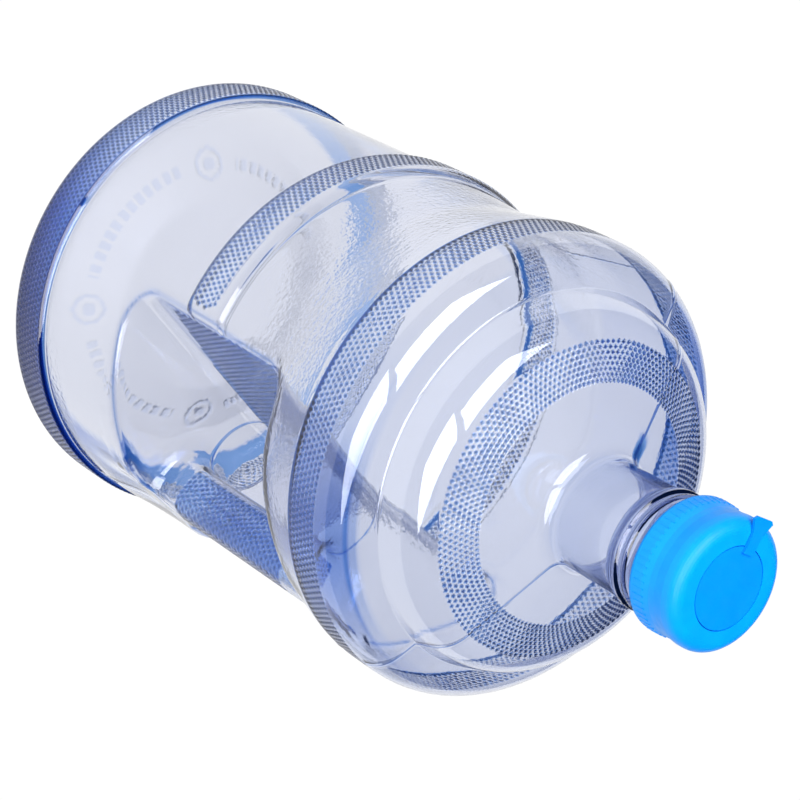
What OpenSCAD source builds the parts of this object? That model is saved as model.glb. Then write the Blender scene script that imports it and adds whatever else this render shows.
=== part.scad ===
/* [Body] */
// widest radius of the body, at the textured bands
body_r = 135.5; // [90:0.5:170]
// wall of the blow-moulded shell
wall = 1.4; // [1.2:0.1:4]
// radius of the corner between base and side
base_corner = 10; // [5:0.5:18]
// height of the base push-up at the centre
push_up = 16; // [6:0.5:24]
// radius where the flat standing ring begins
stand_in_r = 101; // [70:1:110]
// top of the base band
base_band_top = 34.3; // [24:0.1:60]
// depth of the panel between the base band and the middle band
panel_depth = 3.5; // [1:0.1:8]
// bottom of the middle band
mid_band_low = 170.8; // [150:0.1:185]
// top of the middle band
mid_band_top = 193.8; // [186:0.1:215]
// depth of the crease above the middle band
crease_depth = 4.6; // [2:0.1:8]
// depth of the waist
waist_depth = 8.6; // [4:0.1:14]
// height of the waist's narrowest place
waist_z = 248; // [235:1:262]
// height where the upper band begins
upper_band_low = 299.8; // [285:0.1:315]

/* [Shoulder] */
// height of the corner line where the first shoulder would be sharp
shoulder_z = 336.5; // [330:0.5:380]
// rounding of the first shoulder
shoulder_round = 20; // [8:0.5:30]
// radius of the crease between shoulder and dome
crease_r = 111; // [80:0.5:120]
// height of the crease between shoulder and dome
crease_z = 344.8; // [338:0.1:390]
// radius of the dome's own corner line
dome_r = 103.5; // [76:0.5:118]
// height of the dome's own corner line
dome_z = 368; // [362:0.5:410]
// rounding of the dome
dome_round = 22; // [6:0.5:24]
// height the cone reaches at the neck
neck_root_z = 389.6; // [380:0.1:430]
// rounding of the neck root
neck_root_round = 10; // [3:0.5:16]

/* [Neck] */
// outside radius of the neck
neck_r = 32.1; // [24:0.1:40]
// wall of the neck, thicker than the body's
neck_wall = 2.8; // [1.8:0.1:5]
// height of the collar bead's lower side
collar_z = 439; // [425:0.5:450]
// how far the collar bead stands out
collar_out = 2.3; // [0.8:0.1:4]
// height of the neck's rim
rim_z = 487.6; // [470:0.1:510]
// how far the snap lip stands out
lip_out = 1.6; // [0.6:0.1:2]

/* [Handle] */
// distance of the palm wall from the axis at the parting plane
palm_y = 52; // [40:0.5:70]
// draft of the palm wall, which lets the two mould halves part
palm_draft = 4.6; // [0:0.1:8]
// bottom of the hand space
hand_low = 116; // [105:0.5:140]
// top of the hand space
hand_top = 262; // [225:0.5:280]
// rounding of the hand space's lower inner corner
hand_round = 23; // [6:0.5:26]
// rounding of the hand space's upper inner corner
hand_round_top = 17; // [6:0.5:24]
// width of the grip bar
grip_w = 32; // [24:0.5:44]
// inner face of the grip bar, from the axis
grip_in_y = 95.5; // [88:0.5:104]
// outer face of the grip bar, from the axis
grip_out_y = 127; // [116:0.5:131]
// rounding of the grip bar's long edges
grip_round = 11; // [3:0.5:12]
// size of the slanted root at each end of the grip bar
grip_root = 16; // [4:0.5:20]

/* [Cap] */
// gap between the cap's bore and the neck's lip
cap_gap = 0.9; // [0.3:0.05:1.2]
// wall of the cap's skirt
cap_wall = 2.8; // [1.2:0.1:4]
// bottom of the cap's skirt
cap_low = 458.5; // [446:0.5:468]
// thickness of the crown
crown_t = 2.6; // [1.6:0.1:4]
// thickness of the sealing ring
liner_t = 1.6; // [0.8:0.1:3]
// gap between the neck's rim and the sealing ring
liner_gap = 0.3; // [0.3:0.05:0.8]
// rounding of the crown's edge
crown_round = 7; // [4:0.5:9]
// rounding inside the crown's edge
crown_round_in = 2.4; // [0.5:0.1:3]
// how far the waist of the skirt is drawn in
skirt_waist = 0.7; // [0:0.1:1.6]
// number of fine ribs round the bottom of the skirt
rib_count = 60; // [12:4:90]
// how far a rib stands out
rib_out = 0.25; // [0.2:0.05:0.8]

/* [Lid and valve] */
// radius of the recess that holds the lid
recess_r = 23.4; // [16:0.1:27]
// depth of the recess that holds the lid
recess_depth = 1.8; // [1:0.1:2.4]
// gap round the lid's disc
lid_gap = 0.6; // [0.3:0.05:0.8]
// thickness of the lid's disc
disc_t = 1.4; // [0.8:0.1:2]
// depth of the stiffening hoop under the lid
hoop_deep = 2; // [1:0.1:2.2]
// direction of the pull tab, about the axis from +X
tab_angle = 108.5; // [0:0.5:359]
// width of the pull tab at its root
tab_root_w = 7.4; // [5:0.1:14]
// width of the pull tab at its end
tab_end_w = 15; // [6:0.1:22]
// how far the tab's end lies from the axis
tab_reach = 39.5; // [32:0.5:46]
// thickness of the tab
tab_t = 1.5; // [0.8:0.1:3]
// bore of the probe well
well_r = 8.6; // [6:0.1:12]
// wall of the probe well
well_wall = 1.6; // [1:0.1:3]
// bottom of the probe well
well_low = 452; // [440:0.5:462]
// clearance of the valve plug in the well
plug_gap = 0.08; // [0.03:0.01:0.1]
// length of the plug inside the well
plug_len = 11; // [6:0.5:18]

/* [Hidden] */
$fn = 96;
crown_low = rim_z + liner_gap + liner_t;
crown_top = crown_low + crown_t;
lip_r = neck_r + lip_out;
cap_in = lip_r + cap_gap;
cap_r = cap_in + cap_wall;
recess_floor = crown_top - recess_depth;
arc_steps = 8;

// The body's outline from the base's centre to the neck root: radius, height, rounding.
outline = [
  [0, push_up, 0],
  [62, push_up, 14],
  [stand_in_r, 0, 7],
  [body_r, 0, base_corner],
  [body_r, base_band_top, 1.2],
  [body_r - panel_depth, base_band_top + 2.4, 2],
  [body_r - panel_depth, mid_band_low - 2.2, 2],
  [body_r, mid_band_low, 1.6],
  [body_r, mid_band_top + 4, 7],
  [body_r - crease_depth, mid_band_top + 8.4, 2],
  [body_r - waist_depth, waist_z, 60],
  [body_r - 0.6, upper_band_low - 3, 25],
  [body_r, upper_band_low + 4, 12],
  [body_r, shoulder_z, shoulder_round],
  [crease_r, crease_z, 2.2],
  [dome_r, dome_z, dome_round],
  [neck_r, neck_root_z, neck_root_round]
];

function unit(v) = v / norm(v);
function left(v) = [-v[1], v[0]];
function edge(p, i) = unit([p[i + 1][0] - p[i][0], p[i + 1][1] - p[i][1]]);
// The outline moved inwards by d, with each rounding grown or shrunk to match.
function moved(p, d) = [for (i = [0:len(p) - 1])
  i == 0 ? [0, p[0][1] + d, 0] :
  i == len(p) - 1 ? [p[i][0] - d, p[i][1] - d * (1 - edge(p, i - 1)[0] * -1) / max(0.2, norm([edge(p, i - 1)[1], 1])) , p[i][2]] :
  let (a = left(edge(p, i - 1)), b = left(edge(p, i)), s = d / (1 + a * b),
       turn = edge(p, i - 1)[0] * edge(p, i)[1] - edge(p, i - 1)[1] * edge(p, i)[0])
  [p[i][0] + s * (a[0] + b[0]), p[i][1] + s * (a[1] + b[1]), max(0.2, p[i][2] - sign(turn) * d)]];
// A corner rounded by an arc through b, between the lines to a and c.
function corner(a, b, c, r) =
  let (u = unit([a[0] - b[0], a[1] - b[1]]), v = unit([c[0] - b[0], c[1] - b[1]]),
       half = acos(max(-1, min(1, u * v))) / 2,
       reach = r / tan(half), mid = unit(u + v), o = [b[0], b[1]] + mid * (r / sin(half)),
       p0 = [b[0], b[1]] + u * reach, p1 = [b[0], b[1]] + v * reach,
       a0 = atan2(p0[1] - o[1], p0[0] - o[0]), raw = atan2(p1[1] - o[1], p1[0] - o[0]) - a0,
       span = raw > 180 ? raw - 360 : raw < -180 ? raw + 360 : raw)
  [for (k = [0:arc_steps]) o + r * [cos(a0 + span * k / arc_steps), sin(a0 + span * k / arc_steps)]];
function rounded(p) = [for (i = [0:len(p) - 1]) each
  (i == 0 || i == len(p) - 1 || p[i][2] == 0) ? [[p[i][0], p[i][1]]] : corner(p[i - 1], p[i], p[i + 1], p[i][2])];

// The neck outside, from its root to the rim.
function neck_outside() = [
  [neck_r, neck_root_z, neck_root_round],
  [neck_r, collar_z, 0.4],
  [neck_r + collar_out, collar_z + 1.2, 0.6],
  [neck_r + collar_out, collar_z + 4.6, 0.6],
  [neck_r + 0.5, collar_z + 5.8, 0.3],
  [neck_r + 0.5, collar_z + 7.2, 0.3],
  [neck_r + 1.5, collar_z + 8.2, 0.4],
  [neck_r + 1.5, collar_z + 10, 0.4],
  [neck_r, collar_z + 11.2, 0.3],
  [neck_r, rim_z - 18, 0.3],
  [lip_r, rim_z - 16.6, 0.4],
  [lip_r, rim_z, 1.6],
  [neck_r - neck_wall, rim_z, 0]
];

module turned(pts) { rotate_extrude() polygon(pts); }

module outside() {
  full = concat([for (i = [0:len(outline) - 2]) outline[i]], neck_outside());
  turned(concat(rounded(full), [[0, rim_z]]));
}

module inside() {
  in = moved(outline, wall);
  bore = neck_r - neck_wall;
  last = len(in) - 1;
  full = concat([for (i = [0:last - 1]) in[i]],
    [[bore, in[last - 1][1] + (in[last - 1][0] - bore) * (neck_root_z - dome_z) / (dome_r - neck_r), neck_root_round + wall],
     [bore, rim_z + 1, 0]]);
  turned(concat(rounded(full), [[0, rim_z + 1]]));
}

// The hand space: everything in front of the drafted palm wall between two heights, grown by d.
module hand_space(d) {
  y = palm_y - d;
  low = hand_low - d;
  top = hand_top + d;
  r = hand_round + d;
  rt = hand_round_top + d;
  for (side = [0, 1]) mirror([side, 0, 0]) translate([0, -palm_y, 0]) rotate(palm_draft) translate([-9, palm_y, 0])
    rotate([90, 0, 90]) linear_extrude(body_r + 30) difference() {
      translate([-body_r - 60, low]) square([body_r + 60 - y, top - low]);
      difference() {
        translate([-y - r, low - 1]) square([r + 1, r + 1]);
        translate([-y - r, low + r]) circle(r);
      }
      difference() {
        translate([-y - rt, top - rt]) square([rt + 1, rt + 1]);
        translate([-y - rt, top - rt]) circle(rt);
      }
    }
}

// The grip bar with its slanted roots, shrunk by d.
module grip(d) {
  w = grip_w - 2 * d;
  h = grip_out_y - grip_in_y - 2 * d;
  r = grip_round - d;
  low = hand_low - 14;
  high = hand_top + 14;
  translate([0, -(grip_out_y + grip_in_y) / 2, low]) linear_extrude(high - low) union() {
    square([w - 2 * r, h], center = true);
    square([w, h - 2 * r], center = true);
    for (sx = [-1, 1], sy = [-1, 1]) translate([sx * (w / 2 - r), sy * (h / 2 - r)]) circle(r);
  }
  root_w = w - 2 * r;
  y = grip_in_y + d + 4;
  rotate([90, 0, -90]) translate([0, 0, -root_w / 2]) linear_extrude(root_w) union() {
    polygon([[y, hand_low - 4 - d], [y, hand_low + grip_root + 4 - d], [y - grip_root - 8, hand_low - 4 - d]]);
    polygon([[y, hand_top + 4 + d], [y, hand_top - grip_root - 4 + d], [y - grip_root - 8, hand_top + 4 + d]]);
  }
}

module bottle_shell() {
  color([0.78, 0.84, 0.95, 0.35]) difference() {
    union() {
      difference() { outside(); hand_space(0); }
      grip(0);
    }
    union() {
      difference() { inside(); hand_space(wall); }
      grip(wall);
    }
  }
}

module cap_shell() {
  color([0.0, 0.5, 0.95]) difference() {
    union() {
      turned(rounded([
        [0, crown_low - 6, 0],
        [cap_in - 4, crown_low - 6, 0],
        [cap_in - 4, cap_low, 0],
        [cap_r - 0.2, cap_low, 0.8],
        [cap_r + 0.5, cap_low + 2, 0.6],
        [cap_r + 0.3, cap_low + 9, 2],
        [cap_r - skirt_waist, cap_low + 14, 3],
        [cap_r - skirt_waist, cap_low + 18, 3],
        [cap_r, cap_low + 24, 2],
        [cap_r - 0.2, crown_top, crown_round],
        [0, crown_top, 0]]));
      for (k = [0:rib_count - 1]) rotate(k * 360 / rib_count)
        translate([cap_r - 0.9, -0.35, cap_low + 3.4]) rotate([0, -2.5, 0])
          cube([1.4 + rib_out, 0.7, 7.2]);
    }
    turned(rounded([
      [0, cap_low - 1, 0],
      [cap_in, cap_low - 1, 0],
      [cap_in, crown_low, crown_round_in],
      [0, crown_low, 0]]));
    translate([0, 0, recess_floor]) cylinder(r = recess_r, h = recess_depth + 1);
    translate([0, 0, crown_low - 1]) cylinder(r = recess_r - 4, h = crown_t + 2);
  }
  color([0.0, 0.5, 0.95]) turned([
    [well_r, well_low],
    [well_r + well_wall, well_low],
    [well_r + well_wall, crown_low - 15],
    [recess_r - 2.2, crown_low - 0.8],
    [recess_r - 2.2, crown_low + 0.4],
    [recess_r - 4.2, crown_low + 0.4],
    [recess_r - 4.2, crown_low - 0.6],
    [well_r, crown_low - 13]]);
}

module cap_liner() {
  color([0.93, 0.94, 0.95]) translate([0, 0, rim_z + liner_gap]) difference() {
    cylinder(r = lip_r - 2.4, h = liner_t);
    translate([0, 0, -1]) cylinder(r = neck_r - neck_wall - 3.4, h = liner_t + 2);
  }
}

module pull_tab_lid() {
  low = recess_floor + 0.3;
  lift = crown_top + 0.35;
  color([0.0, 0.55, 1.0]) union() {
    translate([0, 0, low]) cylinder(r = recess_r - lid_gap, h = disc_t);
    translate([0, 0, low - hoop_deep]) difference() {
      cylinder(r = recess_r - 5, h = hoop_deep + 0.5);
      translate([0, 0, -1]) cylinder(r = recess_r - 6.2, h = hoop_deep + 0.6);
    }
    rotate(tab_angle) translate([recess_r - 4, -tab_root_w / 2, low]) cube([3.2, tab_root_w, lift + tab_t - low]);
    rotate(tab_angle) translate([0, 0, lift]) linear_extrude(tab_t) polygon([
      [recess_r - 4, -tab_root_w / 2], [tab_reach - 9, -tab_root_w / 2],
      [tab_reach - 1.6, -tab_end_w / 2], [tab_reach, -tab_end_w / 2 + 1.8],
      [tab_reach, tab_end_w / 2 - 1.8], [tab_reach - 1.6, tab_end_w / 2],
      [tab_reach - 9, tab_root_w / 2], [recess_r - 4, tab_root_w / 2]]);
  }
}

module valve_plug() {
  color([0.9, 0.93, 0.97]) turned([
    [0, well_low - 2.4],
    [well_r + well_wall, well_low - 2.4],
    [well_r + well_wall, well_low - 0.4],
    [well_r - plug_gap, well_low - 0.4],
    [well_r - plug_gap, well_low + plug_len],
    [well_r - 1.4, well_low + plug_len],
    [well_r - 1.4, well_low + 1],
    [0, well_low + 1]]);
}

bottle_shell();
cap_shell();
cap_liner();
pull_tab_lid();
valve_plug();
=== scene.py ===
# %% [markdown]
# # A large water jug, as a lesson in Blender
# A cooler jug is blown from one piece of clear tinted polycarbonate, with a blue press-on cap. The
# solid model gives the sizes, the caps and the joints. This file gives the looks: a double-walled
# clear shell with moulded patterns, soft plastics for the cap, a white room and two softboxes.

# %% Load the frame
import math

import bpy
import numpy as np
from mathutils import Matrix, Vector


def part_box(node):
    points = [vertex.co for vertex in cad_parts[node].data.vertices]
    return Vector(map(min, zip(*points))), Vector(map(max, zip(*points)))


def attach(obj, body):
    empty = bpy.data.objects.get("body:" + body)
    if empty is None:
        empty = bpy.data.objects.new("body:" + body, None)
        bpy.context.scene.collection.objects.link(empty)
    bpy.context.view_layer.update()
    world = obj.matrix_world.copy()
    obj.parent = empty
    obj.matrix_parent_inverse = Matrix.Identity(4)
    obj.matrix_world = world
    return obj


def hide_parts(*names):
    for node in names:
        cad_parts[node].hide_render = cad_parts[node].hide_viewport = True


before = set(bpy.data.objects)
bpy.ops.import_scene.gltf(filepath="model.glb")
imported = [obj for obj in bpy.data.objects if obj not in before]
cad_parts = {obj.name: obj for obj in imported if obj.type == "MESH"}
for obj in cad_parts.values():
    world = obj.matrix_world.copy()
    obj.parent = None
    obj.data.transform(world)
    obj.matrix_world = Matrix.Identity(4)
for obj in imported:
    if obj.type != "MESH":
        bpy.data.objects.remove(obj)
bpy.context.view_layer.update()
shell_high = np.array(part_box("bottle_shell")[1]) * 1000

# %% [markdown]
# The camera looks down on the jug from the cap's side and is rolled, so that the jug seems to lie
# down. A camera can be turned by three angles, but a roll is hard to guess that way. Here it has a
# place and two directions instead: where it looks, and which way is right.

# %% Camera
CAMERA_AT = Vector((-0.9993, -0.2147, 1.2957))
LOOKS = Vector((0.67199, 0.14495, -0.72624))
RIGHT = Vector((0.51329, 0.61573, 0.59784))
LENS_MM, SENSOR_MM = 115.67, 36


def aim(item, place, forward, right):
    """Puts a camera or lamp at a place, looking forward, with its own right side along right."""
    back = -forward.normalized()
    side = (right - back * right.dot(back)).normalized()
    turn = Matrix((side, back.cross(side), back)).transposed()
    item.matrix_world = Matrix.Translation(place) @ turn.to_4x4()


lens = bpy.data.cameras.new("camera")
lens.lens, lens.sensor_width = LENS_MM, SENSOR_MM
camera = bpy.data.objects.new("camera", lens)
bpy.context.collection.objects.link(camera)
aim(camera, CAMERA_AT, LOOKS, RIGHT)
bpy.context.scene.camera = camera
jug_middle = Vector((0, 0, shell_high[2] / 2000))
print("camera stands", round((CAMERA_AT - jug_middle).length, 2), "m from the jug's middle")

# %% [markdown]
# Two small helpers serve every finish: one turns an sRGB hex colour to the linear numbers that
# Blender mixes with, and one adds a shader node with its settings and links.

# %% Colour and node helpers
def linear(hex_colour):
    """An sRGB hex colour as linear RGBA."""
    parts = [int(hex_colour[k : k + 2], 16) / 255 for k in (1, 3, 5)]
    return [p / 12.92 if p <= 0.04045 else ((p + 0.055) / 1.055) ** 2.4 for p in parts] + [1.0]


def add(tree, kind, settings=(), **inputs):
    """A node of a kind. settings are its own properties; inputs are values, or sockets to link."""
    node = tree.nodes.new(kind)
    for name, value in dict(settings).items():
        setattr(node, name, value)
    for name, value in inputs.items():
        key = int(name[1:]) if name[0] == "i" and name[1:].isdigit() else name.replace("_", " ")
        if isinstance(value, bpy.types.NodeSocket):
            tree.links.new(value, node.inputs[key])
        else:
            node.inputs[key].default_value = value
    return node


def new_material(name):
    """An empty node material and its output node."""
    material = bpy.data.materials.new(name)
    material.use_nodes = True
    material.node_tree.nodes.clear()
    return material, add(material.node_tree, "ShaderNodeOutputMaterial")


print("half grey is", round(linear("#808080")[0], 3), "in linear numbers")

# %% [markdown]
# The room is white paper: a floor that gives its own light, so that the jug throws almost no
# shadow, and a world that the camera sees as white. Clear plastic shows the room behind it, bent.
# So the world is dimmer and blue for light that has met the jug, which gives the clear walls the
# grey-blue depth that the darker corners of a real studio give.

# %% White room
WHITE_GLOW, FAR_GLOW = 1.02, 0.30
HALF_FLOOR, FLOOR_Z = 6.0, -0.0005
world = bpy.data.worlds.new("white_room")
world.use_nodes = True
world.node_tree.nodes.clear()
tree = world.node_tree
seen = add(tree, "ShaderNodeLightPath")
walls = add(tree, "ShaderNodeBackground", Color=linear("#5582DC"), Strength=FAR_GLOW)
backdrop = add(tree, "ShaderNodeBackground", Color=linear("#FFFFFF"), Strength=WHITE_GLOW)
both = add(tree, "ShaderNodeMixShader", Fac=seen.outputs["Is Camera Ray"],
           i1=walls.outputs[0], i2=backdrop.outputs[0])
add(tree, "ShaderNodeOutputWorld", Surface=both.outputs[0])
bpy.context.scene.world = world
bpy.context.scene.view_settings.view_transform = "Standard"

paper, out = new_material("white_paper")
glow = add(paper.node_tree, "ShaderNodeEmission", Color=linear("#FFFFFF"), Strength=WHITE_GLOW)
paper.node_tree.links.new(glow.outputs[0], out.inputs["Surface"])
floor_mesh = bpy.data.meshes.new("floor")
corners = [(x * HALF_FLOOR, y * HALF_FLOOR, FLOOR_Z) for x, y in ((-1, -1), (1, -1), (1, 1), (-1, 1))]
floor_mesh.from_pydata(corners, [], [(0, 1, 2, 3)])
floor_mesh.materials.append(paper)
floor = bpy.data.objects.new("floor", floor_mesh)
bpy.context.collection.objects.link(floor)
print("floor", 2 * HALF_FLOOR, "m wide")

# %% [markdown]
# Two wide softboxes hang overhead, to the left of the jug, with a gap between them. The shoulder and
# the dome show each as a long white streak, which tells the eye that the plastic is glossy and round.
# A lamp's power is for its whole area, so it is worked out from the brightness and the size.

# %% Softboxes
def softbox(name, low, high, height, radiance):
    """A rectangular lamp over the floor between two corners, facing down, of even brightness."""
    lamp = bpy.data.lights.new(name, "AREA")
    wide, deep = high[0] - low[0], high[1] - low[1]
    lamp.shape, lamp.size, lamp.size_y = "RECTANGLE", wide, deep
    lamp.energy = radiance * math.pi * wide * deep
    item = bpy.data.objects.new(name, lamp)
    item.location = ((low[0] + high[0]) / 2, (low[1] + high[1]) / 2, height)
    bpy.context.collection.objects.link(item)
    print(name, round(wide, 2), "x", round(deep, 2), "m,", round(lamp.energy), "W")


BOX_HEIGHT, BOX_RADIANCE = 2.0, 7.0
softbox("softbox_far", (-1.7, 0.0), (-0.2, 1.4), BOX_HEIGHT, BOX_RADIANCE)
softbox("softbox_near", (-2.8, -2.0), (-0.45, -0.15), BOX_HEIGHT, BOX_RADIANCE)

# %% [markdown]
# ## The clear shell
# A blown jug is round, so its shell is a solid of revolution with patterns on it, apart from the
# hand space. A Screw modifier could turn it, but the patterns need points of their own, so it is
# made from points here. Its outline runs from the middle of the base to the neck: each corner has a
# radius, a height and a rounding, in mm.

# %% Outline
BODY_R, RIM_Z = float(shell_high[0]), float(shell_high[2])
COLLAR_Z = RIM_Z - 48.6
WALL = 1.4
NECK_R, NECK_WALL = 32.1, 2.8
DOME_R, DOME_Z, CONE_TOP = 103.5, 368, 389.6
OUTLINE = [
    # The base, hollow in the middle, and the foot.
    (0, 16, 0), (62, 16, 14), (101, 0, 7), (BODY_R, 0, 10),
    # The step above the foot, the lower body and the step out to the middle band.
    (BODY_R, 34.3, 1.2), (BODY_R - 3.5, 36.7, 2), (BODY_R - 3.5, 168.6, 2), (BODY_R, 170.8, 1.6),
    # The middle band's top, and the waist above it.
    (BODY_R, 197.8, 7), (BODY_R - 4.6, 202.2, 2), (BODY_R - 8.6, 248, 60),
    # The upper band.
    (BODY_R - 0.6, 296.8, 25), (BODY_R, 303.8, 12), (BODY_R, 336.5, 20),
    # The shoulder, the cone and the neck up to its collar.
    (111, 344.8, 2.2), (DOME_R, DOME_Z, 22), (NECK_R, CONE_TOP, 10), (NECK_R, COLLAR_Z, 0.4),
]
LEAST_ROUND = 0.3


def rounded(corners, steps=10, longest=4.5):
    """Points along the outline, with an arc at each corner and no gap over the longest."""
    line = [np.array(corners[0][:2], float)]
    for before, here, after in zip(corners, corners[1:], corners[2:]):
        a, b, c = (np.array(p[:2], float) for p in (before, here, after))
        u, v = (a - b) / np.linalg.norm(a - b), (c - b) / np.linalg.norm(c - b)
        half = math.acos(np.clip(u @ v, -1, 1)) / 2
        middle = b + (u + v) / np.linalg.norm(u + v) * here[2] / math.sin(half)
        start, end = (b + way * here[2] / math.tan(half) - middle for way in (u, v))
        first = math.atan2(start[1], start[0])
        span = (math.atan2(end[1], end[0]) - first + math.pi) % math.tau - math.pi
        turns = first + span * np.linspace(0, 1, steps + 1)
        line += [middle + here[2] * np.array([math.cos(t), math.sin(t)]) for t in turns]
    line.append(np.array(corners[-1][:2], float))
    full = [line[0]]
    for point in line[1:]:
        gap = np.linalg.norm(point - full[-1])
        if gap > 1e-4:
            parts = math.ceil(gap / longest)
            start = full[-1]
            full += [start + (point - start) * k / parts for k in range(1, parts + 1)]
    return np.array(full)


def inset(corners, depth):
    """The same corners moved inwards, which gives the inner face of a wall of even thickness."""
    points = [np.array(p[:2], float) for p in corners]
    ways = [(b - a) / np.linalg.norm(b - a) for a, b in zip(points, points[1:])]
    moved = [(0, corners[0][1] + depth, 0)]
    for k in range(1, len(points) - 1):
        a, b = (np.array([-w[1], w[0]]) for w in (ways[k - 1], ways[k]))
        turn = ways[k - 1][0] * ways[k][1] - ways[k - 1][1] * ways[k][0]
        spot = points[k] + (a + b) * depth / (1 + a @ b)
        moved.append((spot[0], spot[1], max(LEAST_ROUND, corners[k][2] - math.copysign(depth, turn))))
    return moved


outer_line = rounded(OUTLINE)
print("outline points", len(outer_line))

# %% [markdown]
# Moulded grip patterns on such jugs are a net of fine ridges round six-sided pits, so the pattern
# is a function that says how deep a spot lies in its pit. The mesh has its points just where that
# net has its corners and pit middles, so that a few flat faces draw each pit sharply.

# %% Six-sided pits
PIT_DEPTH = 0.55


def pit(u, v):
    """How deep (0 to 1) a spot lies in its pit, and how far it is from the pit's middle. The unit
    along u is half a pit's width, and along v a sixth of the distance between two pits."""
    best = None
    for shift_u, shift_v in ((0, 0), (1, 3)):
        du = u - shift_u - 2 * np.round((u - shift_u) / 2)
        dv = v - shift_v - 6 * np.round((v - shift_v) / 6)
        size = np.maximum(abs(du), (abs(du) + abs(dv)) / 2)
        if best is None:
            best = [size, du, dv]
        else:
            best = [np.where(size < best[0], new, old) for new, old in zip((size, du, dv), best)]
    return np.clip(1 - best[0], 0, 1), best[1], best[2]


print("a pit is", PIT_DEPTH, "mm deep, and half as deep halfway up its slope:", float(pit(0.5, 0.0)[0]))

# %% [markdown]
# A revolved surface is built ring by ring. Rings may have different numbers of points: fine where
# a pattern needs them and coarse where the wall is plain. Equal rings are joined with quads and
# unequal ones are zipped with triangles.

# %% Mesh builder
PIT_FROM = 0.02


class Skin:
    """Points and faces of one piece, gathered ring by ring. Each point has the depth in mm that a
    pattern presses it in, and a tint from 0 to 1: partly the plastic's deeper blue, partly painted
    shade."""

    def __init__(self):
        self.points, self.faces, self.pitted, self.depth, self.tint = [], [], [], [], []

    def add_points(self, xyz, depth=None, tint=None):
        """Adds points and gives their numbers."""
        start = len(self.points)
        self.points += [tuple(p) for p in xyz]
        self.depth += list(np.zeros(len(xyz)) if depth is None else depth)
        self.tint += list(np.zeros(len(xyz)) if tint is None else tint)
        return np.arange(start, start + len(xyz))

    def face(self, *ids):
        """One face. A quad that touches a pit is cut along the net's ridge."""
        deep = [self.depth[i] for i in ids]
        flat = max(deep) > PIT_FROM
        if flat and len(ids) == 4:
            a, b, c, d = ids
            ridge_ac = deep[0] + deep[2] < deep[1] + deep[3]
            self.faces += ((a, b, c), (a, c, d)) if ridge_ac else ((a, b, d), (b, c, d))
            self.pitted += [True, True]
        else:
            self.faces.append(ids)
            self.pitted.append(flat)

    def join(self, low, high):
        """Faces between two closed rings, each given as its points' angles and their numbers. Both
        start at the same angle."""
        (a_at, a), (b_at, b) = low, high
        if len(a) == len(b):
            for k in range(len(a)):
                n = (k + 1) % len(a)
                self.face(a[k], a[n], b[n], b[k])
            return
        i = j = 0
        while i < len(a) or j < len(b):
            next_a = a_at[i + 1] if i + 1 < len(a) else 360.0 + a_at[0] if i < len(a) else math.inf
            next_b = b_at[j + 1] if j + 1 < len(b) else 360.0 + b_at[0] if j < len(b) else math.inf
            if next_a <= next_b:
                self.face(a[i], a[(i + 1) % len(a)], b[j % len(b)])
                i += 1
            else:
                self.face(a[i % len(a)], b[(j + 1) % len(b)], b[j])
                j += 1

    def fan(self, centre, ids, turned=False):
        """Faces from one new middle point to each side of a ring."""
        middle = self.add_points([centre])[0]
        for here, after in zip(ids, np.roll(ids, -1)):
            self.face(middle, *((after, here) if turned else (here, after)))


# %% [markdown]
# The hand space can't be revolved, so it is a rule that says how far any spot lies from the skin:
# the round body, less a pocket whose back wall leans so that the mould can open, plus a rounded
# grip bar. Cut and joined meshes would meet in hard edges, while a rule can join its parts smoothly,
# with the soft lips and roots that blow moulding leaves.

# %% Rule for the hand space
PALM_Y, DRAFT, PALM_SOFT = 52.0, math.tan(math.radians(4.6)), 9
HAND_LOW, HAND_TOP = 115.0, 261.0
HAND_LOW_ARC, HAND_TOP_ARC = 24, 18
BAR_HALF, BAR_IN, BAR_OUT, BAR_EDGE = 16.0, 95.5, 127.0, 11.0
BAR_MIDDLE, BAR_REACH, BAR_ROOT = 188, 78, 21
LIP_ROUND, SCOOP_ROUND = 7, 8
SCOOP_AT, SCOOP_SIZE, SCOOP_MM = (29, -138, 266), (12, 15, 27), 11
SIDE = outer_line[(outer_line[:, 1] > 40) & (outer_line[:, 1] < 330) & (outer_line[:, 0] > 100)]


def step(low, high, value):
    """From 0 to 1, smoothly, as value goes from low to high."""
    t = np.clip((value - low) / (high - low), 0, 1)
    return t * t * (3 - 2 * t)


def dip(x, y, z, radius):
    """How far the body draws in, above and below the grip bar, to run flush into its front."""
    near = (1 - step(13, 40, abs(x))) * (y < 0)
    return np.clip(radius - BAR_OUT, 0, None) * near * step(55, 98, z) * (1 - step(266, 297, z))


def most(a, b, blend):
    """The larger of two distances, with the corner between them rounded off."""
    h = np.clip(blend - abs(a - b), 0, None) / blend
    return np.maximum(a, b) + h * h * blend / 4


def hollow(a, b, radius):
    """The larger of two distances, with a true arc of that radius at the corner."""
    out = np.hypot(np.maximum(a + radius, 0), np.maximum(b + radius, 0))
    return np.minimum(np.maximum(a + radius, b + radius), 0) - radius + out


def palm_y(x):
    """Where the palm wall lies: it leans back to both sides of its middle, where it is rounded."""
    return -(PALM_Y - DRAFT * (np.sqrt(x * x + PALM_SOFT**2) - PALM_SOFT))


def bar_rule(x, y):
    """Distance from the grip bar's rounded oblong section."""
    half_deep = (BAR_OUT - BAR_IN) / 2
    across = abs(x) - BAR_HALF + BAR_EDGE
    deep = abs(y + (BAR_OUT + BAR_IN) / 2) - half_deep + BAR_EDGE
    outside = np.hypot(np.maximum(across, 0), np.maximum(deep, 0))
    return outside + np.minimum(np.maximum(across, deep), 0) - BAR_EDGE


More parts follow.
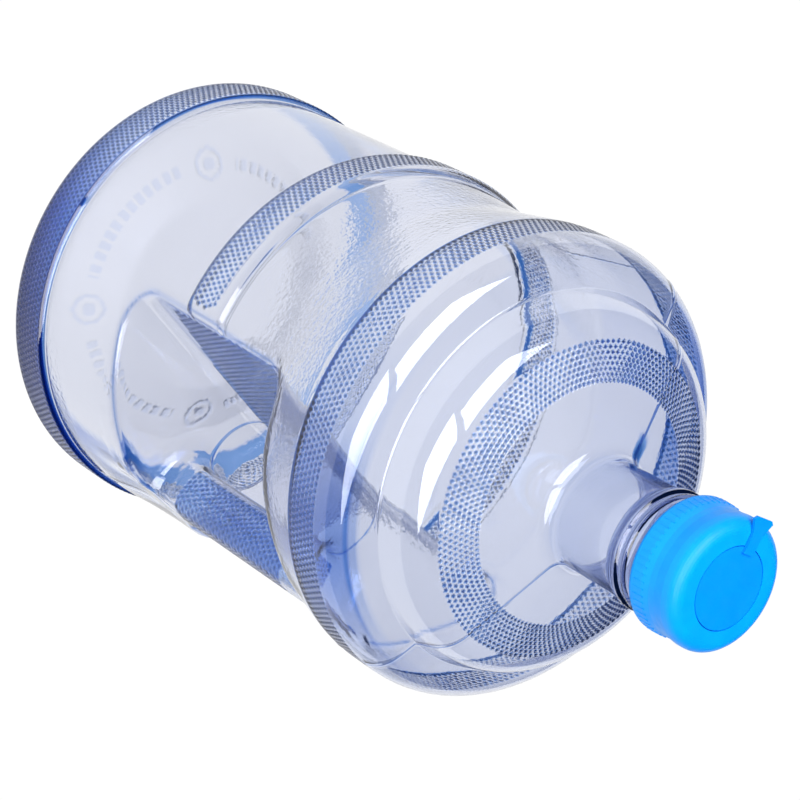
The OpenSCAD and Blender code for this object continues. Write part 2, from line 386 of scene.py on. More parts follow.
def hand_rule(x, y, z, parts=False):
    """Distance in mm from the jug's skin near the hand space: negative inside the plastic. With
    parts it gives the distances from the body and from the pocket instead."""
    r = np.hypot(x, y)
    outline_r = np.interp(z, SIDE[:, 1], SIDE[:, 0])
    body = r - outline_r + dip(x, y, z, outline_r)
    wall = (y - palm_y(x)) * math.cos(math.atan(DRAFT))
    # The pocket's ceiling rises by up to 15 mm towards the front.
    top = HAND_TOP + 9 * np.clip((-y - 75) / 40, 0, 1.3) ** 2
    pocket = np.maximum(hollow(wall, HAND_LOW - z, HAND_LOW_ARC), hollow(wall, z - top, HAND_TOP_ARC))
    if parts:
        return body, pocket
    skin = most(body, -pocket, LIP_ROUND)
    # An oval scoop beside each side of the bar's upper root, which fades out at its top.
    oval = zip((abs(x), y, z), SCOOP_AT, SCOOP_SIZE)
    scoop = np.sqrt(sum(((value - middle) / size) ** 2 for value, middle, size in oval))
    skin = most(skin, -(scoop - 1) * SCOOP_MM - 10 * step(276, 294, z), SCOOP_ROUND)
    bar = np.maximum(bar_rule(x, y), abs(z - BAR_MIDDLE) - BAR_REACH)
    return np.maximum(-most(-skin, -bar, BAR_ROOT), body)


print("palm wall at the middle", round(float(palm_y(0.0)), 1), "mm, bar skin at its front",
      round(float(bar_rule(0.0, -BAR_OUT)), 2), "mm off")

# %% [markdown]
# The skin where a rule gives zero is found on a grid of angles, heights and radii: each cell that
# the skin crosses gets one point, and four neighbouring cells give one face. Each point then slides
# on to the exact skin. Metaballs or a remesh would do much the same, but their grid couldn't follow
# the patterns. A wall of even thickness is the same rule taken a little further in.

# %% Skin from a rule
def slope(rule, p, reach=0.05):
    """How the rule changes along x, y and z at the points p."""
    shift = np.eye(3) * reach
    return np.stack([(rule(*(p + d).T) - rule(*(p - d).T)) / (2 * reach) for d in shift], 1)


def found_skin(rule, at, heights, radii, slides=5):
    """Points, outward directions, cell numbers and quads of a rule's zero skin round the jug."""
    n, m, k = len(at), len(heights), len(radii)
    spread_at = np.concatenate([[at[-1] - 360], at, [at[0] + 360]])
    to_at = lambda f: np.interp(f, np.arange(-0.5, n + 1), spread_at)

    def to(f, row):
        """The height or radius at a grid place, carried on in a straight line past both ends."""
        below = np.where(f < 0.5, (f - 0.5) * (row[1] - row[0]), 0)
        above = np.where(f > len(row) - 0.5, (f - len(row) + 0.5) * (row[-1] - row[-2]), 0)
        return np.interp(f, np.arange(len(row)) + 0.5, row) + below + above

    def place(f):
        turn = np.radians(to_at(f[..., 0]) + 90)
        r = to(f[..., 2], radii)
        return np.stack([r * np.cos(turn), r * np.sin(turn), to(f[..., 1], heights)], -1)

    axes = np.meshgrid(np.arange(n), np.arange(m + 1), np.arange(k + 1), indexing="ij")
    grid = np.stack(axes, -1).astype(float)
    value = rule(*np.moveaxis(place(grid), -1, 0))
    total, count = np.zeros((n, m, k, 3)), np.zeros((n, m, k))
    crossings = []
    for axis in range(3):
        # Where the rule changes sign between two grid spots, the skin crosses there.
        ahead = np.roll(value, -1, 0) if axis == 0 else np.take(value, range(1, value.shape[axis]), axis)
        here = value if axis == 0 else np.take(value, range(value.shape[axis] - 1), axis)
        cross = (here < 0) != (ahead < 0)
        part = np.where(cross, here / np.where(cross, here - ahead, 1), 0)
        spot = grid[tuple(slice(0, size) for size in here.shape)].copy()
        spot[..., axis] += part
        crossings.append((cross, here < 0))
        # Each crossing counts for the four cells around it; the cells go round the jug and meet.
        others = [a for a in range(3) if a != axis]
        for da in (0, 1):
            for db in (0, 1):
                pick, use, spots = [slice(None)] * 3, cross, spot
                for other, d in zip(others, (da, db)):
                    if other == 0:
                        use, spots = np.roll(use, -d, 0), np.roll(spots, -d, 0)
                        if d:
                            spots = spots.copy()
                            spots[-1, ..., 0] += n
                    else:
                        pick[other] = slice(d, d + (m, k)[other - 1])
                total += np.where(use[tuple(pick)][..., None], spots[tuple(pick)], 0)
                count += use[tuple(pick)]
    cells = np.argwhere(count > 0)
    number = np.full((n, m, k), -1)
    number[tuple(cells.T)] = np.arange(len(cells))
    p = place(total[tuple(cells.T)] / count[tuple(cells.T)][:, None])
    for _ in range(slides):
        way = slope(rule, p)
        move = way * (rule(*p.T) / np.maximum((way**2).sum(1), 0.2))[:, None]
        size = np.linalg.norm(move, axis=1, keepdims=True)
        p = p - move * np.minimum(1, 1.2 / np.maximum(size, 1e-9))
    way = slope(rule, p)
    way /= np.linalg.norm(way, axis=1, keepdims=True)
    quads = []
    for axis, (cross, inside) in enumerate(crossings):
        b, c = (axis + 1) % 3, (axis + 2) % 3
        found = np.argwhere(cross)
        for limit, other in ((m, 1), (k, 2)):
            if other != axis:
                found = found[(found[:, other] > 0) & (found[:, other] < limit)]
        steps = np.zeros((4, 3), int)
        steps[[0, 3], b], steps[[0, 1], c] = -1, -1
        corners = found[:, None, :] + steps[None]
        corners[..., 0] %= n
        ids = number[tuple(np.moveaxis(corners, -1, 0))]
        flip = ~inside[tuple(found.T)]
        ids[flip] = ids[flip][:, ::-1]
        quads.append(ids[(ids >= 0).all(1)])
    return p, way, cells, np.concatenate(quads)


# %% [markdown]
# One closed outline goes up the outside of the jug, over the rim and down the inside, so that the
# clear shell has a real thickness and light bends through it as it does in the real wall. It is cut
# where the hand space begins and ends, and the found skin is put between the pieces.

# %% The closed outline
BAND_COLUMNS = 448
BAND_ROW = math.tau * BODY_R / BAND_COLUMNS / math.sqrt(3)
CONE_COLUMNS = 300
ZONE_LOW, ZONE_TOP = 98.0, 298.4
LIP_R, BORE = NECK_R + 1.6, NECK_R - NECK_WALL
NECK = [
    (NECK_R, COLLAR_Z, 0.4), (NECK_R + 2.3, COLLAR_Z + 1.2, 0.6), (NECK_R + 2.3, COLLAR_Z + 4.6, 0.6),
    (NECK_R + 0.5, COLLAR_Z + 5.8, 0.3), (NECK_R + 0.5, COLLAR_Z + 7.2, 0.3),
    (NECK_R + 1.5, COLLAR_Z + 8.2, 0.4), (NECK_R + 1.5, COLLAR_Z + 10, 0.4),
    (NECK_R, COLLAR_Z + 11.2, 0.3), (NECK_R, RIM_Z - 18, 0.3), (LIP_R, RIM_Z - 16.6, 0.4),
    (LIP_R, RIM_Z, 1.6), (BORE, RIM_Z, 0.8),
]
inner = inset(OUTLINE, WALL)[:-1]
dome_in, cone_slope = inner[-1], (CONE_TOP - DOME_Z) / (DOME_R - NECK_R)
bore_low = dome_in[1] + (dome_in[0] - BORE) * cone_slope
inner.append((BORE, bore_low, 11))
line = rounded(OUTLINE[:-1] + NECK + inner[::-1])
along = np.concatenate([[0], np.cumsum(np.linalg.norm(np.diff(line, axis=0), axis=1))])


def passes(goal, part):
    """Every length along the outline at which its radius (part 0) or height (part 1) is goal."""
    value = line[:, part] - goal
    hits = np.flatnonzero((value[:-1] < 0) != (value[1:] < 0))
    return [along[h] + (along[h + 1] - along[h]) * value[h] / (value[h] - value[h + 1]) for h in hits]


def spot_at(length):
    """The point and the outward normal of the closed outline at a length along it."""
    here, ahead, behind = ([np.interp(length + shift, along, line[:, k]) for k in (0, 1)]
                           for shift in (0, 0.4, -0.4))
    way = np.subtract(ahead, behind)
    return here, (way[1] / np.linalg.norm(way), -way[0] / np.linalg.norm(way))


cuts = [passes(height, 1)[end] for height, end in
        ((ZONE_LOW, 0), (ZONE_TOP, 0), (ZONE_TOP, -1), (ZONE_LOW, -1))]
rim_length = passes(BORE + 1.5, 0)[-2]
print("outline", round(along[-1]), "mm long, cut at", [round(c) for c in cuts])

# %% [markdown]
# A blown wall isn't the same all over. It gathers plastic at the neck and down one side, and it
# looks a deeper blue there. Tight turns and steps get painted shade, a deeper blue that stands for the
# light that runs along the wall there. The two halves of the mould leave a fine raised seam, painted
# with a dark line, and a patch of painted shade lies beside it below the neck. Such marks could be
# painted on by hand, but a rule for each ring puts them just where the shape has them. Tints go from 0
# to 1.

# %% Tints of the wall
FOOT_TOP, FOOT_R = 36, 116
BAND_LOW, BAND_TOP, CONE_LOW = 298, 340, 338
RIM_EDGE, NECK_AROUND = 3, 8
FOOT_TINT, BAND_TINT, CONE_TINT, NECK_TINT, TURN_SHADE = 0.7, 0.4, 0.13, 0.17, 0.3
SEAM_SHADE, SEAM_TOP_SHADE, MARK_SHADE = 0.6, 0.35, 0.16
THICK_SIDE = math.radians(232)
# Steps in the body, which get painted shade: the height, half the width in mm, and the tint.
SHADED_STEPS = ((3.0, 4.0, 0.5), (35.2, 0.8, 1.0), (169.8, 0.8, 0.9), (300.0, 0.7, 1.0))
# Each pair is where a change begins and where it is full: mm of radius or height, or degrees.
# Painted shade beside the seam below the neck, and the painted seam line that darkens towards the neck.
NECK_SHADE_RADII, NECK_SHADE_HEIGHTS, NECK_SHADE_ANGLES = (NECK_R + 26, NECK_R + 6), (398, 392), (9, 2)
SEAM_DARKENS, TURN_ANGLES = (384, 392), (0.25, 0.8)


def bend_at(length, reach=1.2):
    """How tightly the outline turns within that reach of a length along it, as painted shade, or the
    painted shade at a step in the body."""
    here = spot_at(length)[0]
    if 40 < here[1] < 430 or here[0] > BODY_R - 12:
        return max([full * (abs(here[1] - middle) < half) for middle, half, full in SHADED_STEPS])
    ways = [np.subtract(spot_at(length + reach)[0], here), np.subtract(here, spot_at(length - reach)[0])]
    sizes = [max(np.linalg.norm(w), 1e-6) for w in ways]
    turn = math.acos(np.clip(ways[0] @ ways[1] / sizes[0] / sizes[1], -1, 1))
    return TURN_SHADE * float(step(*TURN_ANGLES, turn))


def wall_tint(turn, radius, height, outside, bend):
    """The tint round a ring before its pattern and its seams."""
    tint = np.full(len(turn), bend)
    if outside and CONE_LOW < height < CONE_TOP:
        tint = np.maximum(tint, CONE_TINT)
    if radius < NECK_R + NECK_AROUND and CONE_TOP < height < RIM_Z - RIM_EDGE:
        tint = np.maximum(tint, NECK_TINT)
    towards = np.cos(turn - THICK_SIDE)
    if height < FOOT_TOP and radius > FOOT_R:
        tint += FOOT_TINT * np.clip(towards, 0, 1) ** 1.5
    elif BAND_LOW < height < BAND_TOP:
        tint += BAND_TINT * towards**4
    return tint


def with_seam_shade(at, on_seam, radius, height, tint):
    """The same tint with painted shade on the mould seams and beside a seam below the neck."""
    dark = SEAM_SHADE + SEAM_TOP_SHADE * step(*SEAM_DARKENS, height)
    tint = np.where(on_seam & (height > FOOT_TOP), np.maximum(tint, dark), tint)
    neck_shade = step(*NECK_SHADE_RADII, radius) * step(*NECK_SHADE_HEIGHTS, height)
    return np.maximum(tint, neck_shade * step(*NECK_SHADE_ANGLES, np.minimum(at, 360 - at)))


print("tint at the foot's step", bend_at(passes(35.2, 1)[0]), "and on the lower body", bend_at(cuts[0]))

# %% [markdown]
# A ring of the outside has extra points beside both seams, and is raised along them. An inner ring
# is plain.

# %% Rings
SEAM_HALF, SEAM_HIGH, SEAM_CLEAR = 0.75, 0.28, 0.03


def columns(count, radius, seam=True):
    """Angles round a ring from the seam at +Y, with extra ones beside both mould seams."""
    apart = 360 / count
    full = list(np.arange(count) * apart)
    if seam:
        near = min(math.degrees(SEAM_HALF / radius), 0.45 * apart)
        full += [near, 360 - near, 180 - near, 180 + near]
    return np.array(sorted(full))


def ring(skin, count, radius, height, normal=None, press=None, wall=0.0, bend=0.0):
    """One ring of a skin. A ring of the outside has a normal, and is pressed in by the pits and
    raised along the mould seams. wall is how far inside the outer skin it lies."""
    outside = normal is not None
    at = columns(count, radius, outside)
    turn = np.radians(at + 90)
    r = radius - dip(radius * np.cos(turn), radius * np.sin(turn), height, radius + wall)
    z, sunk, tint = np.full(len(at), height), None, wall_tint(turn, radius, height, outside, bend)
    if outside:
        on_seam = abs((at + 90) % 180 - 90) < 1e-6
        bare = height < FOOT_TOP or height > RIM_Z - RIM_EDGE
        room = 0.0 if bare else max(0.0, BODY_R - SEAM_CLEAR - radius)
        lift = np.where(on_seam, min(SEAM_HIGH, room), 0.0)
        if press is not None:
            sunk = press(at, radius)
            lift = lift - sunk
            # Pits get painted shade as deep as they are, and the raised marks a faint painted shade.
            tint = np.maximum(tint, np.where(sunk > 0, sunk / PIT_DEPTH, MARK_SHADE * (sunk < 0)))
        tint = with_seam_shade(at, on_seam, radius, height, tint)
        r, z = r + lift * normal[0], z + lift * normal[1]
    return at, skin.add_points(np.stack([r * np.cos(turn), r * np.sin(turn), z], 1), sunk, tint)


print("a ring of", BAND_COLUMNS, "has", len(columns(BAND_COLUMNS, BODY_R)), "points with its seams")

# %% [markdown]
# Patterned stretches of the outline are belts: each has rows of its own and says how far each spot
# is pressed in. A real base carries moulded marks in a circle: here they are plain dashes and
# plain round bosses.

# %% Belts
MARK_R, MARK_HIGH = 83.5, 0.5
DASH_EVERY, DASH_LONG, DASH_HALF, BOSS_SPACE = 5, 3.2, 3, 14
BOSS_TURNS, BOSS_RING, BOSS_DOT = (45, 135, 225, 315), (7.8, 10), 4


def net_belt(start, rows, row, count):
    """A belt of six-sided pits. Only whole pits are kept, which gives its edges their scallops."""
    def press(at, radius, k):
        deep, _, dv = pit(at / (360 / count), np.full(len(at), float(k + 2)))
        middle = k - dv
        return np.where((middle >= 0) & (middle < rows) & (0 <= k < rows), deep * PIT_DEPTH, 0)
    return start, rows, row, count, press


def mark_belt(start, rows, row, count):
    """Plain dashes in a circle with four round bosses between them, standing a little proud."""
    def press(at, radius, k):
        clear = abs(at % 90 - 45) > BOSS_SPACE
        dash = ((at % DASH_EVERY) < DASH_LONG) & clear & (abs(radius - MARK_R) < DASH_HALF)
        away = np.min([np.hypot(radius * np.cos(np.radians(at - boss)) - MARK_R,
                                radius * np.sin(np.radians(at - boss))) for boss in BOSS_TURNS], 0)
        boss = ((away > BOSS_RING[0]) & (away < BOSS_RING[1])) | (away < BOSS_DOT)
        return np.where(dash | boss, -MARK_HIGH, 0)
    return start, rows, row, count, press


cone_row = math.tau * 80 / CONE_COLUMNS / math.sqrt(3)
belts = [
    mark_belt(passes(72.5, 0)[0], 18, 1.25, BAND_COLUMNS),     # marks under the base
    net_belt(passes(8.4, 1)[1], 24, BAND_ROW, BAND_COLUMNS),   # the foot
    net_belt(passes(300.6, 1)[0], 21, BAND_ROW, BAND_COLUMNS), # the upper band
    net_belt(passes(91.0, 0)[1], 24, cone_row, CONE_COLUMNS),  # the cone
]
print("belts start at", [round(belt[0]) for belt in belts], "mm along the outline")

# %% [markdown]
# The outline is turned between two lengths along it. Its own points give the plain rings, and each
# belt gives rings at its rows. A ring near the axis is small, so it needs fewer points.

# %% Turning the outline
LEAST_GAP, LEAST_R, INSIDE_MOST = 0.25, 3, 144
# Up to each radius in mm, that many points round a plain ring.
ROUND_POINTS = ((12, 24), (30, 48), (48, 96), (math.inf, 192))


def revolve(skin, start, stop, before=None):
    """Rings along the closed outline between two lengths, joined on to a ring before them."""
    stations = [(s, None, 0) for s in along[(along > start) & (along < stop)]
                if not any(first - 1.3 * row < s < first + (rows + 0.3) * row
                           for first, rows, row, _, _ in belts)]
    for belt in belts:
        first, rows, row = belt[:3]
        if start < first < stop:
            stations += [(first + k * row, belt, k) for k in range(-1, rows + 1)]
    last, previous = -math.inf, before
    for s, belt, k in sorted(stations, key=lambda item: item[0]):
        (radius, height), normal = spot_at(s)
        if s - last < LEAST_GAP or radius < LEAST_R:
            continue
        last = s
        count = next(points for limit, points in ROUND_POINTS if radius < limit)
        if belt:
            press = lambda at, radius: belt[4](at, radius, k)
            new = ring(skin, belt[3], radius, height, normal, press, bend=bend_at(s))
        elif s < rim_length:
            new = ring(skin, count, radius, height, normal, bend=bend_at(s))
        else:
            new = ring(skin, min(count, INSIDE_MOST), radius, height, wall=WALL)
        if previous is not None:
            skin.join(previous, new)
        elif start <= 0:
            skin.fan((0, 0, line[0, 1]), new[1], turned=True)
        previous = new
    return previous


# %% [markdown]
# The hand space's grid has its angles where the patterns need them: evenly round the band, evenly
# across the palm wall, and closer together at the grip bar. Its heights and radii follow the pits
# too, and are coarser where the wall is plain.

# %% Hand space skin
PALM_STEP, PALM_FROM = 1.9, 94.2
BAR_TURN = 0.857
ROW_ZERO = 130.0


def zone_angles(fine):
    """The grid's angles from the seam at +Y. fine is 1 outside and 2 or more inside."""
    turn = 360 / BAND_COLUMNS
    band = [k * turn for k in range(0, 135, fine)]
    across = [k * PALM_STEP for k in range(65, 6, -fine)]
    palm = [math.degrees(math.atan2(x, palm_y(x))) % 360 for x in across]
    bar = [180 - k * BAR_TURN for k in range(14, 0, -min(fine, 2))]
    half = band + palm + bar
    if fine == 1:
        half.insert(1, math.degrees(SEAM_HALF / BODY_R))
    return np.array(half + [180.0] + [360 - a for a in half[:0:-1]])


fine_rows = ROW_ZERO + BAND_ROW * np.arange(-2, 113)
rows = np.concatenate([np.linspace(ZONE_LOW, fine_rows[0], 15)[:-1], fine_rows,
                       np.linspace(fine_rows[-1], ZONE_TOP, 22)[1:]])
radii = np.concatenate([np.arange(45, 93, 2.6), np.arange(PALM_FROM, 131, PALM_STEP),
                        np.arange(132.4, 140, 2.2)])
zone_at = zone_angles(1)
p, way, cells, quads = found_skin(hand_rule, zone_at, rows, radii)
print("hand space skin", len(p), "points,", len(quads), "quads")

# %% [markdown]
# The found skin gets its own patterns, which real jugs have so that wet hands don't slip: the middle
# band, which ends in round corners, the palm wall behind the bar, and the grip bar. Each says which
# points it holds, and how deep they lie in their pits.

# %% Patterns round the hand space
MID_BAND_LOW, MID_BAND_ROWS = 171.6, 21
MID_BAND_ARC, MID_BAND_CORNER = 241, 9.5
ON_SKIN = 0.6
PALM_DEPTH, BAR_DEPTH = 0.24, 0.4
LIP_SHADE = 0.62


def band_pits(at, r, v):
    first = round((MID_BAND_LOW - ROW_ZERO) / BAND_ROW)
    turned = np.where(at > 180, 360 - at, at)
    deep, du, dv = pit(turned * BAND_COLUMNS / 360, v - first + 2)
    middle, arc = v - first - dv, (turned - du * 360 / BAND_COLUMNS) * math.pi * BODY_R / 180
    above = abs(middle - MID_BAND_ROWS // 2) * BAND_ROW
    corner = np.hypot(np.maximum(arc - MID_BAND_ARC, 0), np.maximum(above - 3, 0))
    held = (middle > -0.5) & (middle < MID_BAND_ROWS - 0.5) & (corner < MID_BAND_CORNER)
    return (r > BODY_R - 2) & held, deep


def palm_pits(x, y, z, r, v):
    deep, du, dv = pit(x / PALM_STEP, v + 2)
    mid_x, mid_z = abs(x - du * PALM_STEP), z - dv * BAND_ROW
    rise = (mid_x / 125) ** 2
    on_palm = (abs(y - palm_y(x)) < ON_SKIN) & (r < BODY_R - 5) & (mid_x < 119)
    return on_palm & (mid_z > 130 + 20 * rise) & (mid_z < 240 + 9 * rise), deep


def bar_pits(x, y, z, r, at, v):
    front = abs(x) < BAR_HALF - BAR_EDGE / 2
    deep, _, dv = pit(np.where(front, (at - 180) / BAR_TURN, (r - PALM_FROM) / PALM_STEP), v + 2)
    mid_z = z - dv * BAND_ROW
    return (abs(bar_rule(x, y)) < ON_SKIN) & (r > 101) & (mid_z > 134) & (mid_z < 243), deep


def zone_press(p, at):
    """How far each found point is pressed in by the three patterns, and how deeply it is tinted with
    painted shade. The pocket's lip and the step under the middle band get painted shade as well."""
    x, y, z = p.T
    r, v = np.hypot(x, y), (z - ROW_ZERO) / BAND_ROW
    body, pocket = hand_rule(x, y, z, parts=True)
    sunk = np.zeros(len(p))
    # Painted shade on the pocket's lip and on the step under the middle band, then in each pattern's
    # pits, with a faint layer over the palm wall and the bar.
    tint = LIP_SHADE * np.clip(1.5 - np.maximum(abs(body), abs(pocket)) / 2.4, 0, 1)
    tint = np.where((r > BODY_R - 5) & (abs(z - 169.8) < 1.0), np.maximum(tint, 0.9), tint)
    for (held, deep), depth, faint, more in (
            (band_pits(at, r, v), PIT_DEPTH, 0, 1),
            (palm_pits(x, y, z, r, v), PALM_DEPTH, 0.4, 0.45),
            (bar_pits(x, y, z, r, at, v), BAR_DEPTH, 0.36, 0.5)):
        sunk, tint = np.where(held, deep * depth, sunk), np.where(held, faint + more * deep, tint)
    return sunk, tint


at = zone_at[cells[:, 0]]
sunk, tint = zone_press(p, at)
on_seam = np.isin(at, (0.0, 180.0)) & (sunk == 0)
# The seams here get the same painted dark line.
tint = np.where(on_seam, np.maximum(tint, SEAM_SHADE), tint)
proud = np.minimum(SEAM_HIGH, np.maximum(0, BODY_R - SEAM_CLEAR - np.hypot(p[:, 0], p[:, 1]))) * on_seam
print("pressed points", int((sunk > 0).sum()), "and seam points", int(on_seam.sum()))

# %% [markdown]
# The shell is put together in the order of the closed outline: up the outside, with the hand space's
# outer skin in its place, over the rim, and down the inside round the hand space's inner skin. Every
# edge then has two faces, so the plastic is a closed body that light can enter and leave.

# %% The whole shell
INSIDE_ROWS, INSIDE_RADIUS_STEP = 66, 3.1
PALM_BACK_SHADE = 0.4


def edge_ring(cells, p, ids, row):
    """The found points in one row of cells, in order of their angle from the seam at +Y."""
    held = np.flatnonzero(cells[:, 1] == row)
    at = np.degrees(np.arctan2(-p[held, 0], p[held, 1]))
    at = np.where(at < -0.02, at + 360, at)
    order = np.argsort(at)
    return at[order], ids[held[order]]


shell = Skin()
lower = revolve(shell, 0, cuts[0])
ids = shell.add_points(p + way * (proud - sunk)[:, None], sunk, tint)
for quad in quads:
    shell.face(*ids[quad])
shell.join(lower, edge_ring(cells, p, ids, 0))
upper = revolve(shell, cuts[1], cuts[2], edge_ring(cells, p, ids, len(rows) - 1))

in_rows = np.arange(ZONE_LOW, ZONE_TOP + 0.1, (ZONE_TOP - ZONE_LOW) / INSIDE_ROWS)
in_radii = np.arange(45, 140, INSIDE_RADIUS_STEP)
inner_rule = lambda x, y, z: hand_rule(x, y, z) + WALL
p, way, cells, quads = found_skin(inner_rule, zone_angles(3), in_rows, in_radii)
# The inner skin behind the palm wall gets painted shade, fading out above and below.
behind = (abs(p[:, 1] - palm_y(p[:, 0]) - WALL) < 1.0) & (np.hypot(p[:, 0], p[:, 1]) < BODY_R - 5)
tint = PALM_BACK_SHADE * behind * step(118, 150, p[:, 2]) * (1 - step(228, 262, p[:, 2]))
ids = shell.add_points(p, tint=tint)
for quad in quads:
    shell.face(*ids[quad][::-1])
shell.join(upper, edge_ring(cells, p, ids, len(in_rows) - 1))
bottom = revolve(shell, cuts[3], along[-1], edge_ring(cells, p, ids, 0))
shell.fan((0, 0, line[-1, 1]), bottom[1])
print("shell", len(shell.points), "points,", len(shell.faces), "faces")

# %% [markdown]
# Blender takes the shell as a mesh in metres. Pits look crisp because their edges are marked sharp.
# Faces stay smooth even there: a tint in the volume needs all its faces shaded in the same way.

# %% Mesh to piece
def make_piece(name, skin, material):
    """A Blender object from a skin, smooth all over but with sharp edges in the pits."""
    mesh = bpy.data.meshes.new(name)
    mesh.from_pydata([(x / 1000, y / 1000, z / 1000) for x, y, z in skin.points], [],
                     [[int(i) for i in f] for f in skin.faces])
    mesh.polygons.foreach_set("use_smooth", [True] * len(mesh.polygons))
    sizes, edge = np.zeros(len(mesh.polygons), int), np.zeros(len(mesh.loops), int)
    mesh.polygons.foreach_get("loop_total", sizes)
    mesh.loops.foreach_get("edge_index", edge)
    sharp = np.zeros(len(mesh.edges), bool)
    sharp[edge[np.repeat(skin.pitted, sizes)]] = True
    mesh.attributes.new("sharp_edge", "BOOLEAN", "EDGE").data.foreach_set("value", sharp)
    mesh.attributes.new("tint_and_painted_shade", "FLOAT", "POINT").data.foreach_set("value", skin.tint)
    mesh.materials.append(material)
    mesh.update()
    piece = bpy.data.objects.new(name, mesh)
    bpy.context.collection.objects.link(piece)
    return piece


# %% [markdown]
# Polycarbonate is a glassy plastic, blown here, that bends light more than glass does. Its blue tint
# is so faint that one wall looks grey, but light that runs along a wall comes out navy, so the tint
# goes in the volume. A pit's slopes and the tight corners send light along the wall most, so painted
# shade, a deeper blue on the skin, follows them too, from the tints that the points carry.

# %% Clear polycarbonate, tinted
# The ramp turns the points' tints, mostly painted shade, into the skin's colour, from near white to
# navy.
TINT_RAMP = ((0.22, "#E2EBFE"), (0.48, "#4F86DE"), (0.78, "#0E3C94"))
clear, out = new_material("tinted_polycarbonate")
tree = clear.node_tree
stored = add(tree, "ShaderNodeAttribute", dict(attribute_name="tint_and_painted_shade"))
shade = add(tree, "ShaderNodeValToRGB", Fac=stored.outputs["Fac"])
for element, colour in zip(shade.color_ramp.elements, ("#FBFCFF", "#062674")):
    element.color = linear(colour)
for place, colour in TINT_RAMP:
    shade.color_ramp.elements.new(place).color = linear(colour)
depth_blue = add(tree, "ShaderNodeVolumeAbsorption", Color=linear("#5973B1"), Density=88.0)
print("tint ramp has", len(shade.color_ramp.elements), "colours")

# %% [markdown]
# A blown skin is a little wavy, more so where it was stretched: over the waist, and in a ring above
# the foot. The waves are about 3 mm long, and the polish wanders over about 30 mm. The base stands
# on its foot and is scuffed dull. Each change runs over a range of heights.

# %% Clear polycarbonate, its skin
def waves_of(wave_mm):
    """The noise scale, for places in metres, whose waves are about that many mm long."""
    return 1000 / wave_mm


place = add(tree, "ShaderNodeTexCoord").outputs["Object"]
height = add(tree, "ShaderNodeSeparateXYZ", Vector=place).outputs["Z"]
fade = {}
for name, low, high, before, after in (
        ("waist_starts", 0.205, 0.222, 0.12, 1.0), ("waist_ends", 0.282, 0.297, 1.0, 0.1),
        ("ring_starts", 0.037, 0.039, 0.0, 0.9), ("ring_ends", 0.050, 0.058, 1.0, 0.0),
        ("scuffed_base", 0.0165, 0.022, 0.26, 0.0)):
    fade[name] = add(tree, "ShaderNodeMapRange", dict(interpolation_type="SMOOTHSTEP"), Value=height,
                     From_Min=low, From_Max=high, To_Min=before, To_Max=after).outputs[0]
waist, band = (add(tree, "ShaderNodeMath", dict(operation="MULTIPLY"), i0=fade[part + "_starts"],
                   i1=fade[part + "_ends"]).outputs[0] for part in ("waist", "ring"))
amount = add(tree, "ShaderNodeMath", dict(operation="ADD"), i0=waist, i1=band)
waves = add(tree, "ShaderNodeTexNoise", Vector=place, Scale=waves_of(2.8))
peel = add(tree, "ShaderNodeMath", dict(operation="MULTIPLY"), i0=waves.outputs["Fac"],
           i1=amount.outputs[0])
wavy = add(tree, "ShaderNodeBump", Height=peel.outputs[0], Distance=0.00012, Strength=1.0)
smear = add(tree, "ShaderNodeTexNoise", Vector=place, Scale=waves_of(30.0))
polish = add(tree, "ShaderNodeMapRange", Value=smear.outputs["Fac"], From_Min=0.3, From_Max=0.7,
             To_Min=0.008, To_Max=0.03)
rough = add(tree, "ShaderNodeMath", dict(operation="MAXIMUM"), i0=polish.outputs[0],
            i1=fade["scuffed_base"])
# The skin also glows a faint navy: painted light that turns the walls' darkest greys blue.
gloss = add(tree, "ShaderNodeBsdfPrincipled", Base_Color=shade.outputs["Color"],
            Roughness=rough.outputs[0], Normal=wavy.outputs[0], IOR=1.585, Transmission_Weight=1.0,
            Emission_Color=linear("#0048A8"), Emission_Strength=0.012)
tree.links.new(gloss.outputs[0], out.inputs["Surface"])
tree.links.new(depth_blue.outputs[0], out.inputs["Volume"])

jug = make_piece("clear_shell", shell, clear)
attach(jug, "bottle")
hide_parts("bottle_shell")
print("clear shell", len(jug.data.vertices), "points,", len(jug.data.polygons), "faces")

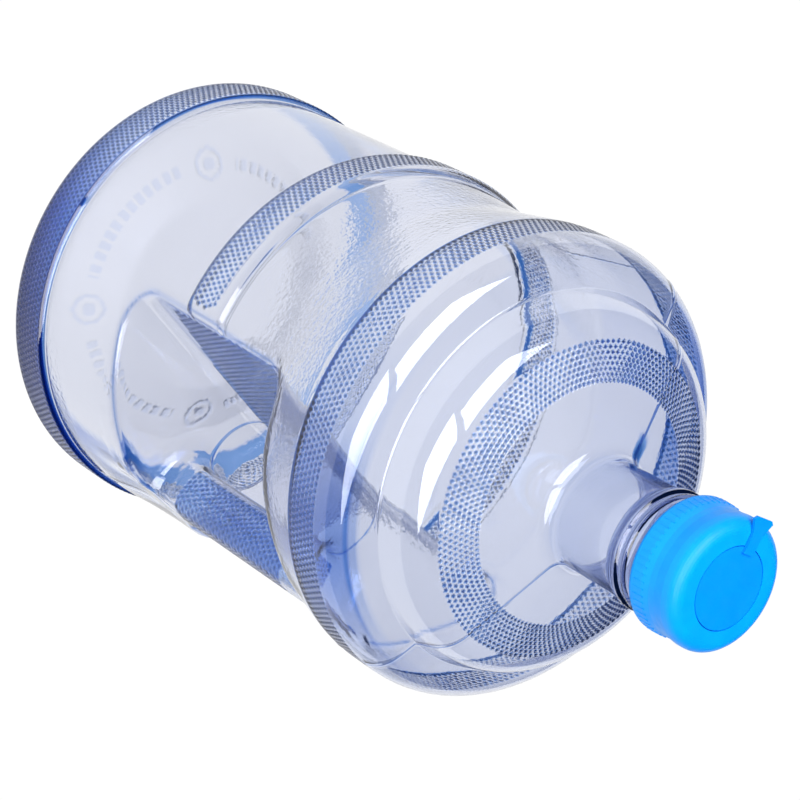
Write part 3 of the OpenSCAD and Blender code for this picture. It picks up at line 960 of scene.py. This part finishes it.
# %% [markdown]
# ## The cap
# The cap and its pull-tab lid are moulded polyethylene, a waxy plastic that lets a little light in.
# Its skin has a faint cloudiness and a fine grain from the mould, drawn a little coarser than it is
# so that it shows. Their shapes are right in the solid model, so they only get better materials.

# %% Polyethylene
def polyethylene(name, colour, darker, roughness, glow, grain_mm=0.6):
    """A moulded waxy plastic: two near shades in soft clouds, a fine grain and an uneven polish."""
    material, out = new_material(name)
    tree = material.node_tree
    place = add(tree, "ShaderNodeTexCoord").outputs["Object"]
    clouds = add(tree, "ShaderNodeTexNoise", Vector=place, Scale=waves_of(14.0), Detail=3.0)
    colours = add(tree, "ShaderNodeValToRGB", Fac=clouds.outputs["Fac"])
    for element, stop, value in zip(colours.color_ramp.elements, (0.35, 0.68), (darker, colour)):
        element.position, element.color = stop, linear(value)
    grain = add(tree, "ShaderNodeTexNoise", Vector=place, Scale=waves_of(grain_mm), Detail=4.0)
    bump = add(tree, "ShaderNodeBump", Height=grain.outputs["Fac"], Distance=0.00003, Strength=0.6)
    wear = add(tree, "ShaderNodeTexNoise", Vector=place, Scale=waves_of(5.0))
    polish = add(tree, "ShaderNodeMapRange", Value=wear.outputs["Fac"], From_Min=0.3, From_Max=0.7,
                 To_Min=roughness - 0.05, To_Max=roughness + 0.07)
    wax = add(tree, "ShaderNodeBsdfPrincipled", Base_Color=colours.outputs["Color"], IOR=1.51,
              Roughness=polish.outputs[0], Normal=bump.outputs[0], Subsurface_Weight=glow,
              Subsurface_Scale=0.004, Specular_IOR_Level=0.22)
    tree.links.new(wax.outputs[0], out.inputs["Surface"])
    return material


finishes = {
    "cap_shell": polyethylene("blue_polyethylene_cap", "#0098F0", "#0092EC", 0.40, 0.05),
    "pull_tab_lid": polyethylene("blue_polyethylene_lid", "#0088E8", "#0084E4", 0.42, 0.05),
    "valve_plug": polyethylene("natural_polyethylene_plug", "#E6ECEE", "#DCE4E8", 0.42, 0.3),
    "cap_liner": polyethylene("white_foam_liner", "#F0F1F2", "#E4E6E9", 0.75, 0.2, 1.1),
}
for node, finish in finishes.items():
    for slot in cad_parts[node].material_slots:
        slot.material = finish
print("finishes", [finish.name for finish in finishes.values()])
